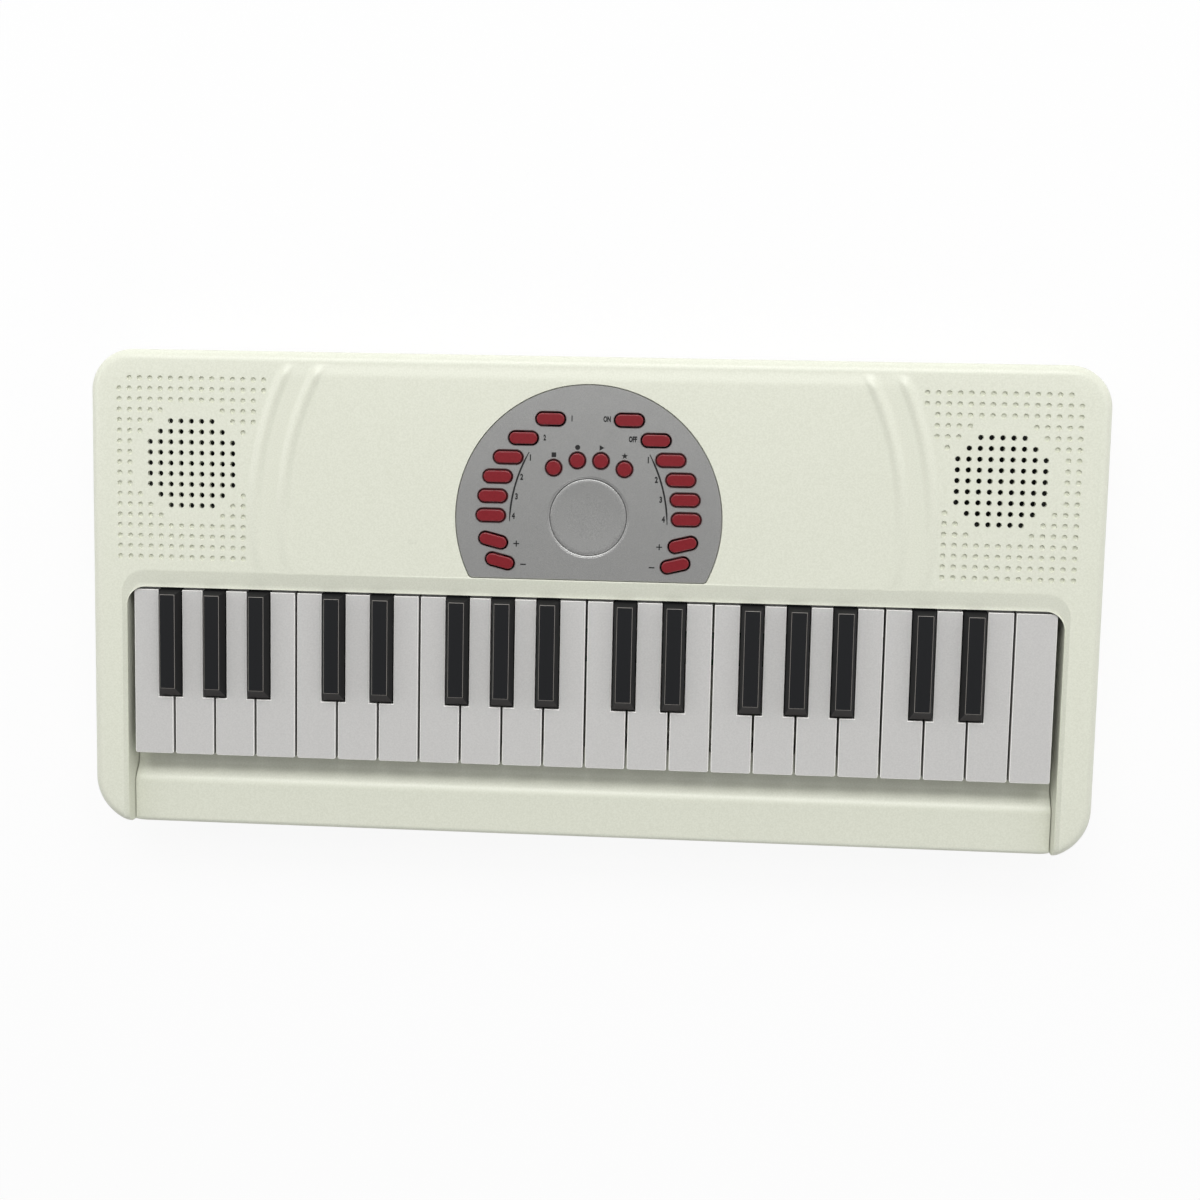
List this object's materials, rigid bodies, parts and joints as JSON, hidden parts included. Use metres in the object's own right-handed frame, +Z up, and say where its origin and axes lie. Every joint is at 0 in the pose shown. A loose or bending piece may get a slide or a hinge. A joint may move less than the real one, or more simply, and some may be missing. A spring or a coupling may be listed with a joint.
{
  "type": "toy electronic keyboard",
  "caption": "Flat desktop musical toy keyboard with sprung white and black keys, a round panel of press buttons between two speaker grilles, and a battery bay underneath.",
  "frame": {"origin": "centre of the whole object seen from above, on the underside of its feet", "axes": "+X to the right along the keys, from low to high notes; +Y to the rear, away from the player; +Z up"},
  "size_m": [0.479, 0.231, 0.0475],
  "materials": {
    "case_top": "fine matt texture, warm light grey",
    "case_base": "fine matt texture, warm light grey",
    "door": "fine matt texture, warm light grey",
    "panel": "satin silver paint",
    "white_keys": "smooth, slightly glossy",
    "black_keys": "smooth, satin",
    "buttons": "dark red, satin",
    "boards": "green solder mask",
    "rubbers": "matt silicone rubber",
    "speakers": "black paper cone in a black frame"
  },
  "bodies": {
    "case": {"upper_case": "case_top", "lower_case": "case_base", "battery_door": "door", "control_panel": "panel", "speakers": "speakers", "circuit_boards": "boards", "contact_rubbers": "rubbers"},
    "black_key_a_sharp_3_body": {"black_key_a_sharp_3": "black_keys"},
    "black_key_a_sharp_4_body": {"black_key_a_sharp_4": "black_keys"},
    "black_key_a_sharp_5_body": {"black_key_a_sharp_5": "black_keys"},
    "black_key_c_sharp_4_body": {"black_key_c_sharp_4": "black_keys"},
    "black_key_c_sharp_5_body": {"black_key_c_sharp_5": "black_keys"},
    "black_key_c_sharp_6_body": {"black_key_c_sharp_6": "black_keys"},
    "black_key_d_sharp_4_body": {"black_key_d_sharp_4": "black_keys"},
    "black_key_d_sharp_5_body": {"black_key_d_sharp_5": "black_keys"},
    "black_key_d_sharp_6_body": {"black_key_d_sharp_6": "black_keys"},
    "black_key_f_sharp_3_body": {"black_key_f_sharp_3": "black_keys"},
    "black_key_f_sharp_4_body": {"black_key_f_sharp_4": "black_keys"},
    "black_key_f_sharp_5_body": {"black_key_f_sharp_5": "black_keys"},
    "black_key_g_sharp_3_body": {"black_key_g_sharp_3": "black_keys"},
    "black_key_g_sharp_4_body": {"black_key_g_sharp_4": "black_keys"},
    "black_key_g_sharp_5_body": {"black_key_g_sharp_5": "black_keys"},
    "effect_button_body": {"effect_button": "buttons"},
    "instrument_1_button_body": {"instrument_1_button": "buttons"},
    "instrument_2_button_body": {"instrument_2_button": "buttons"},
    "instrument_3_button_body": {"instrument_3_button": "buttons"},
    "instrument_4_button_body": {"instrument_4_button": "buttons"},
    "play_button_body": {"play_button": "buttons"},
    "power_rocker_body": {"power_rocker": "buttons"},
    "record_button_body": {"record_button": "buttons"},
    "rhythm_1_button_body": {"rhythm_1_button": "buttons"},
    "rhythm_2_button_body": {"rhythm_2_button": "buttons"},
    "rhythm_3_button_body": {"rhythm_3_button": "buttons"},
    "rhythm_4_button_body": {"rhythm_4_button": "buttons"},
    "song_rocker_body": {"song_rocker": "buttons"},
    "stop_button_body": {"stop_button": "buttons"},
    "tempo_rocker_body": {"tempo_rocker": "buttons"},
    "volume_rocker_body": {"volume_rocker": "buttons"},
    "white_key_a3_body": {"white_key_a3": "white_keys"},
    "white_key_a4_body": {"white_key_a4": "white_keys"},
    "white_key_a5_body": {"white_key_a5": "white_keys"},
    "white_key_b3_body": {"white_key_b3": "white_keys"},
    "white_key_b4_body": {"white_key_b4": "white_keys"},
    "white_key_b5_body": {"white_key_b5": "white_keys"},
    "white_key_c4_body": {"white_key_c4": "white_keys"},
    "white_key_c5_body": {"white_key_c5": "white_keys"},
    "white_key_c6_body": {"white_key_c6": "white_keys"},
    "white_key_d4_body": {"white_key_d4": "white_keys"},
    "white_key_d5_body": {"white_key_d5": "white_keys"},
    "white_key_d6_body": {"white_key_d6": "white_keys"},
    "white_key_e4_body": {"white_key_e4": "white_keys"},
    "white_key_e5_body": {"white_key_e5": "white_keys"},
    "white_key_e6_body": {"white_key_e6": "white_keys"},
    "white_key_f3_body": {"white_key_f3": "white_keys"},
    "white_key_f4_body": {"white_key_f4": "white_keys"},
    "white_key_f5_body": {"white_key_f5": "white_keys"},
    "white_key_f6_body": {"white_key_f6": "white_keys"},
    "white_key_g3_body": {"white_key_g3": "white_keys"},
    "white_key_g4_body": {"white_key_g4": "white_keys"},
    "white_key_g5_body": {"white_key_g5": "white_keys"}
  },
  "joints": [
    {"name": "black_key_a_sharp_3_joint", "type": "hinge", "parent": "case", "child": "black_key_a_sharp_3_body", "pos_m": [-0.1583, 0.008, 0.0335], "axis": [1, 0, 0], "range_deg": [0, 2.9], "stiffness_Nm_per_rad": 0.25, "springref_deg": -6.88, "deforming": ["contact_rubbers"]},
    {"name": "black_key_a_sharp_4_joint", "type": "hinge", "parent": "case", "child": "black_key_a_sharp_4_body", "pos_m": [-0.0183, 0.008, 0.0335], "axis": [1, 0, 0], "range_deg": [0, 2.9], "stiffness_Nm_per_rad": 0.25, "springref_deg": -6.88, "deforming": ["contact_rubbers"]},
    {"name": "black_key_a_sharp_5_joint", "type": "hinge", "parent": "case", "child": "black_key_a_sharp_5_body", "pos_m": [0.1217, 0.008, 0.0335], "axis": [1, 0, 0], "range_deg": [0, 2.9], "stiffness_Nm_per_rad": 0.25, "springref_deg": -6.88, "deforming": ["contact_rubbers"]},
    {"name": "black_key_c_sharp_4_joint", "type": "hinge", "parent": "case", "child": "black_key_c_sharp_4_body", "pos_m": [-0.1217, 0.008, 0.0335], "axis": [1, 0, 0], "range_deg": [0, 2.9], "stiffness_Nm_per_rad": 0.25, "springref_deg": -6.88, "deforming": ["contact_rubbers"]},
    {"name": "black_key_c_sharp_5_joint", "type": "hinge", "parent": "case", "child": "black_key_c_sharp_5_body", "pos_m": [0.0183, 0.008, 0.0335], "axis": [1, 0, 0], "range_deg": [0, 2.9], "stiffness_Nm_per_rad": 0.25, "springref_deg": -6.88, "deforming": ["contact_rubbers"]},
    {"name": "black_key_c_sharp_6_joint", "type": "hinge", "parent": "case", "child": "black_key_c_sharp_6_body", "pos_m": [0.1583, 0.008, 0.0335], "axis": [1, 0, 0], "range_deg": [0, 2.9], "stiffness_Nm_per_rad": 0.25, "springref_deg": -6.88, "deforming": ["contact_rubbers"]},
    {"name": "black_key_d_sharp_4_joint", "type": "hinge", "parent": "case", "child": "black_key_d_sharp_4_body", "pos_m": [-0.0983, 0.008, 0.0335], "axis": [1, 0, 0], "range_deg": [0, 2.9], "stiffness_Nm_per_rad": 0.25, "springref_deg": -6.88, "deforming": ["contact_rubbers"]},
    {"name": "black_key_d_sharp_5_joint", "type": "hinge", "parent": "case", "child": "black_key_d_sharp_5_body", "pos_m": [0.0417, 0.008, 0.0335], "axis": [1, 0, 0], "range_deg": [0, 2.9], "stiffness_Nm_per_rad": 0.25, "springref_deg": -6.88, "deforming": ["contact_rubbers"]},
    {"name": "black_key_d_sharp_6_joint", "type": "hinge", "parent": "case", "child": "black_key_d_sharp_6_body", "pos_m": [0.1817, 0.008, 0.0335], "axis": [1, 0, 0], "range_deg": [0, 2.9], "stiffness_Nm_per_rad": 0.25, "springref_deg": -6.88, "deforming": ["contact_rubbers"]},
    {"name": "black_key_f_sharp_3_joint", "type": "hinge", "parent": "case", "child": "black_key_f_sharp_3_body", "pos_m": [-0.2017, 0.008, 0.0335], "axis": [1, 0, 0], "range_deg": [0, 2.9], "stiffness_Nm_per_rad": 0.25, "springref_deg": -6.88, "deforming": ["contact_rubbers"]},
    {"name": "black_key_f_sharp_4_joint", "type": "hinge", "parent": "case", "child": "black_key_f_sharp_4_body", "pos_m": [-0.0617, 0.008, 0.0335], "axis": [1, 0, 0], "range_deg": [0, 2.9], "stiffness_Nm_per_rad": 0.25, "springref_deg": -6.88, "deforming": ["contact_rubbers"]},
    {"name": "black_key_f_sharp_5_joint", "type": "hinge", "parent": "case", "child": "black_key_f_sharp_5_body", "pos_m": [0.0783, 0.008, 0.0335], "axis": [1, 0, 0], "range_deg": [0, 2.9], "stiffness_Nm_per_rad": 0.25, "springref_deg": -6.88, "deforming": ["contact_rubbers"]},
    {"name": "black_key_g_sharp_3_joint", "type": "hinge", "parent": "case", "child": "black_key_g_sharp_3_body", "pos_m": [-0.18, 0.008, 0.0335], "axis": [1, 0, 0], "range_deg": [0, 2.9], "stiffness_Nm_per_rad": 0.25, "springref_deg": -6.88, "deforming": ["contact_rubbers"]},
    {"name": "black_key_g_sharp_4_joint", "type": "hinge", "parent": "case", "child": "black_key_g_sharp_4_body", "pos_m": [-0.04, 0.008, 0.0335], "axis": [1, 0, 0], "range_deg": [0, 2.9], "stiffness_Nm_per_rad": 0.25, "springref_deg": -6.88, "deforming": ["contact_rubbers"]},
    {"name": "black_key_g_sharp_5_joint", "type": "hinge", "parent": "case", "child": "black_key_g_sharp_5_body", "pos_m": [0.1, 0.008, 0.0335], "axis": [1, 0, 0], "range_deg": [0, 2.9], "stiffness_Nm_per_rad": 0.25, "springref_deg": -6.88, "deforming": ["contact_rubbers"]},
    {"name": "effect_button_joint", "type": "slide", "parent": "case", "child": "effect_button_body", "axis": [0, 0, -1], "range_m": [0, 0.001], "stiffness_N_per_m": 300, "springref_m": -0.002, "deforming": ["contact_rubbers"]},
    {"name": "instrument_1_button_joint", "type": "slide", "parent": "case", "child": "instrument_1_button_body", "axis": [0, 0, -1], "range_m": [0, 0.001], "stiffness_N_per_m": 300, "springref_m": -0.002, "deforming": ["contact_rubbers"]},
    {"name": "instrument_2_button_joint", "type": "slide", "parent": "case", "child": "instrument_2_button_body", "axis": [0, 0, -1], "range_m": [0, 0.001], "stiffness_N_per_m": 300, "springref_m": -0.002, "deforming": ["contact_rubbers"]},
    {"name": "instrument_3_button_joint", "type": "slide", "parent": "case", "child": "instrument_3_button_body", "axis": [0, 0, -1], "range_m": [0, 0.001], "stiffness_N_per_m": 300, "springref_m": -0.002, "deforming": ["contact_rubbers"]},
    {"name": "instrument_4_button_joint", "type": "slide", "parent": "case", "child": "instrument_4_button_body", "axis": [0, 0, -1], "range_m": [0, 0.001], "stiffness_N_per_m": 300, "springref_m": -0.002, "deforming": ["contact_rubbers"]},
    {"name": "play_button_joint", "type": "slide", "parent": "case", "child": "play_button_body", "axis": [0, 0, -1], "range_m": [0, 0.001], "stiffness_N_per_m": 300, "springref_m": -0.002, "deforming": ["contact_rubbers"]},
    {"name": "power_rocker_joint", "type": "hinge", "parent": "case", "child": "power_rocker_body", "pos_m": [0.02473, 0.08159, 0.0419], "axis": [0.5842, 0.8116, 0], "range_deg": [-4.5, 4.5], "stiffness_Nm_per_rad": 0.05, "deforming": ["contact_rubbers"]},
    {"name": "record_button_joint", "type": "slide", "parent": "case", "child": "record_button_body", "axis": [0, 0, -1], "range_m": [0, 0.001], "stiffness_N_per_m": 300, "springref_m": -0.002, "deforming": ["contact_rubbers"]},
    {"name": "rhythm_1_button_joint", "type": "slide", "parent": "case", "child": "rhythm_1_button_body", "axis": [0, 0, -1], "range_m": [0, 0.001], "stiffness_N_per_m": 300, "springref_m": -0.002, "deforming": ["contact_rubbers"]},
    {"name": "rhythm_2_button_joint", "type": "slide", "parent": "case", "child": "rhythm_2_button_body", "axis": [0, 0, -1], "range_m": [0, 0.001], "stiffness_N_per_m": 300, "springref_m": -0.002, "deforming": ["contact_rubbers"]},
    {"name": "rhythm_3_button_joint", "type": "slide", "parent": "case", "child": "rhythm_3_button_body", "axis": [0, 0, -1], "range_m": [0, 0.001], "stiffness_N_per_m": 300, "springref_m": -0.002, "deforming": ["contact_rubbers"]},
    {"name": "rhythm_4_button_joint", "type": "slide", "parent": "case", "child": "rhythm_4_button_body", "axis": [0, 0, -1], "range_m": [0, 0.001], "stiffness_N_per_m": 300, "springref_m": -0.002, "deforming": ["contact_rubbers"]},
    {"name": "song_rocker_joint", "type": "hinge", "parent": "case", "child": "song_rocker_body", "pos_m": [-0.02473, 0.08159, 0.0419], "axis": [0.5842, -0.8116, 0], "range_deg": [-4.5, 4.5], "stiffness_Nm_per_rad": 0.05, "deforming": ["contact_rubbers"]},
    {"name": "stop_button_joint", "type": "slide", "parent": "case", "child": "stop_button_body", "axis": [0, 0, -1], "range_m": [0, 0.001], "stiffness_N_per_m": 300, "springref_m": -0.002, "deforming": ["contact_rubbers"]},
    {"name": "tempo_rocker_joint", "type": "hinge", "parent": "case", "child": "tempo_rocker_body", "pos_m": [-0.04302, 0.0239, 0.0419], "axis": [0.9703, -0.2419, 0], "range_deg": [-4.5, 4.5], "stiffness_Nm_per_rad": 0.05, "deforming": ["contact_rubbers"]},
    {"name": "volume_rocker_joint", "type": "hinge", "parent": "case", "child": "volume_rocker_body", "pos_m": [0.04302, 0.0239, 0.0419], "axis": [0.9703, 0.2419, 0], "range_deg": [-4.5, 4.5], "stiffness_Nm_per_rad": 0.05, "deforming": ["contact_rubbers"]},
    {"name": "white_key_a3_joint", "type": "hinge", "parent": "case", "child": "white_key_a3_body", "pos_m": [-0.17, 0.008, 0.0335], "axis": [1, 0, 0], "range_deg": [0, 2.9], "stiffness_Nm_per_rad": 0.25, "springref_deg": -6.88, "deforming": ["contact_rubbers"]},
    {"name": "white_key_a4_joint", "type": "hinge", "parent": "case", "child": "white_key_a4_body", "pos_m": [-0.03, 0.008, 0.0335], "axis": [1, 0, 0], "range_deg": [0, 2.9], "stiffness_Nm_per_rad": 0.25, "springref_deg": -6.88, "deforming": ["contact_rubbers"]},
    {"name": "white_key_a5_joint", "type": "hinge", "parent": "case", "child": "white_key_a5_body", "pos_m": [0.11, 0.008, 0.0335], "axis": [1, 0, 0], "range_deg": [0, 2.9], "stiffness_Nm_per_rad": 0.25, "springref_deg": -6.88, "deforming": ["contact_rubbers"]},
    {"name": "white_key_b3_joint", "type": "hinge", "parent": "case", "child": "white_key_b3_body", "pos_m": [-0.15, 0.008, 0.0335], "axis": [1, 0, 0], "range_deg": [0, 2.9], "stiffness_Nm_per_rad": 0.25, "springref_deg": -6.88, "deforming": ["contact_rubbers"]},
    {"name": "white_key_b4_joint", "type": "hinge", "parent": "case", "child": "white_key_b4_body", "pos_m": [-0.01, 0.008, 0.0335], "axis": [1, 0, 0], "range_deg": [0, 2.9], "stiffness_Nm_per_rad": 0.25, "springref_deg": -6.88, "deforming": ["contact_rubbers"]},
    {"name": "white_key_b5_joint", "type": "hinge", "parent": "case", "child": "white_key_b5_body", "pos_m": [0.13, 0.008, 0.0335], "axis": [1, 0, 0], "range_deg": [0, 2.9], "stiffness_Nm_per_rad": 0.25, "springref_deg": -6.88, "deforming": ["contact_rubbers"]},
    {"name": "white_key_c4_joint", "type": "hinge", "parent": "case", "child": "white_key_c4_body", "pos_m": [-0.13, 0.008, 0.0335], "axis": [1, 0, 0], "range_deg": [0, 2.9], "stiffness_Nm_per_rad": 0.25, "springref_deg": -6.88, "deforming": ["contact_rubbers"]},
    {"name": "white_key_c5_joint", "type": "hinge", "parent": "case", "child": "white_key_c5_body", "pos_m": [0.01, 0.008, 0.0335], "axis": [1, 0, 0], "range_deg": [0, 2.9], "stiffness_Nm_per_rad": 0.25, "springref_deg": -6.88, "deforming": ["contact_rubbers"]},
    {"name": "white_key_c6_joint", "type": "hinge", "parent": "case", "child": "white_key_c6_body", "pos_m": [0.15, 0.008, 0.0335], "axis": [1, 0, 0], "range_deg": [0, 2.9], "stiffness_Nm_per_rad": 0.25, "springref_deg": -6.88, "deforming": ["contact_rubbers"]},
    {"name": "white_key_d4_joint", "type": "hinge", "parent": "case", "child": "white_key_d4_body", "pos_m": [-0.11, 0.008, 0.0335], "axis": [1, 0, 0], "range_deg": [0, 2.9], "stiffness_Nm_per_rad": 0.25, "springref_deg": -6.88, "deforming": ["contact_rubbers"]},
    {"name": "white_key_d5_joint", "type": "hinge", "parent": "case", "child": "white_key_d5_body", "pos_m": [0.03, 0.008, 0.0335], "axis": [1, 0, 0], "range_deg": [0, 2.9], "stiffness_Nm_per_rad": 0.25, "springref_deg": -6.88, "deforming": ["contact_rubbers"]},
    {"name": "white_key_d6_joint", "type": "hinge", "parent": "case", "child": "white_key_d6_body", "pos_m": [0.17, 0.008, 0.0335], "axis": [1, 0, 0], "range_deg": [0, 2.9], "stiffness_Nm_per_rad": 0.25, "springref_deg": -6.88, "deforming": ["contact_rubbers"]},
    {"name": "white_key_e4_joint", "type": "hinge", "parent": "case", "child": "white_key_e4_body", "pos_m": [-0.09, 0.008, 0.0335], "axis": [1, 0, 0], "range_deg": [0, 2.9], "stiffness_Nm_per_rad": 0.25, "springref_deg": -6.88, "deforming": ["contact_rubbers"]},
    {"name": "white_key_e5_joint", "type": "hinge", "parent": "case", "child": "white_key_e5_body", "pos_m": [0.05, 0.008, 0.0335], "axis": [1, 0, 0], "range_deg": [0, 2.9], "stiffness_Nm_per_rad": 0.25, "springref_deg": -6.88, "deforming": ["contact_rubbers"]},
    {"name": "white_key_e6_joint", "type": "hinge", "parent": "case", "child": "white_key_e6_body", "pos_m": [0.19, 0.008, 0.0335], "axis": [1, 0, 0], "range_deg": [0, 2.9], "stiffness_Nm_per_rad": 0.25, "springref_deg": -6.88, "deforming": ["contact_rubbers"]},
    {"name": "white_key_f3_joint", "type": "hinge", "parent": "case", "child": "white_key_f3_body", "pos_m": [-0.21, 0.008, 0.0335], "axis": [1, 0, 0], "range_deg": [0, 2.9], "stiffness_Nm_per_rad": 0.25, "springref_deg": -6.88, "deforming": ["contact_rubbers"]},
    {"name": "white_key_f4_joint", "type": "hinge", "parent": "case", "child": "white_key_f4_body", "pos_m": [-0.07, 0.008, 0.0335], "axis": [1, 0, 0], "range_deg": [0, 2.9], "stiffness_Nm_per_rad": 0.25, "springref_deg": -6.88, "deforming": ["contact_rubbers"]},
    {"name": "white_key_f5_joint", "type": "hinge", "parent": "case", "child": "white_key_f5_body", "pos_m": [0.07, 0.008, 0.0335], "axis": [1, 0, 0], "range_deg": [0, 2.9], "stiffness_Nm_per_rad": 0.25, "springref_deg": -6.88, "deforming": ["contact_rubbers"]},
    {"name": "white_key_f6_joint", "type": "hinge", "parent": "case", "child": "white_key_f6_body", "pos_m": [0.21, 0.008, 0.0335], "axis": [1, 0, 0], "range_deg": [0, 2.9], "stiffness_Nm_per_rad": 0.25, "springref_deg": -6.88, "deforming": ["contact_rubbers"]},
    {"name": "white_key_g3_joint", "type": "hinge", "parent": "case", "child": "white_key_g3_body", "pos_m": [-0.19, 0.008, 0.0335], "axis": [1, 0, 0], "range_deg": [0, 2.9], "stiffness_Nm_per_rad": 0.25, "springref_deg": -6.88, "deforming": ["contact_rubbers"]},
    {"name": "white_key_g4_joint", "type": "hinge", "parent": "case", "child": "white_key_g4_body", "pos_m": [-0.05, 0.008, 0.0335], "axis": [1, 0, 0], "range_deg": [0, 2.9], "stiffness_Nm_per_rad": 0.25, "springref_deg": -6.88, "deforming": ["contact_rubbers"]},
    {"name": "white_key_g5_joint", "type": "hinge", "parent": "case", "child": "white_key_g5_body", "pos_m": [0.09, 0.008, 0.0335], "axis": [1, 0, 0], "range_deg": [0, 2.9], "stiffness_Nm_per_rad": 0.25, "springref_deg": -6.88, "deforming": ["contact_rubbers"]}
  ]
}
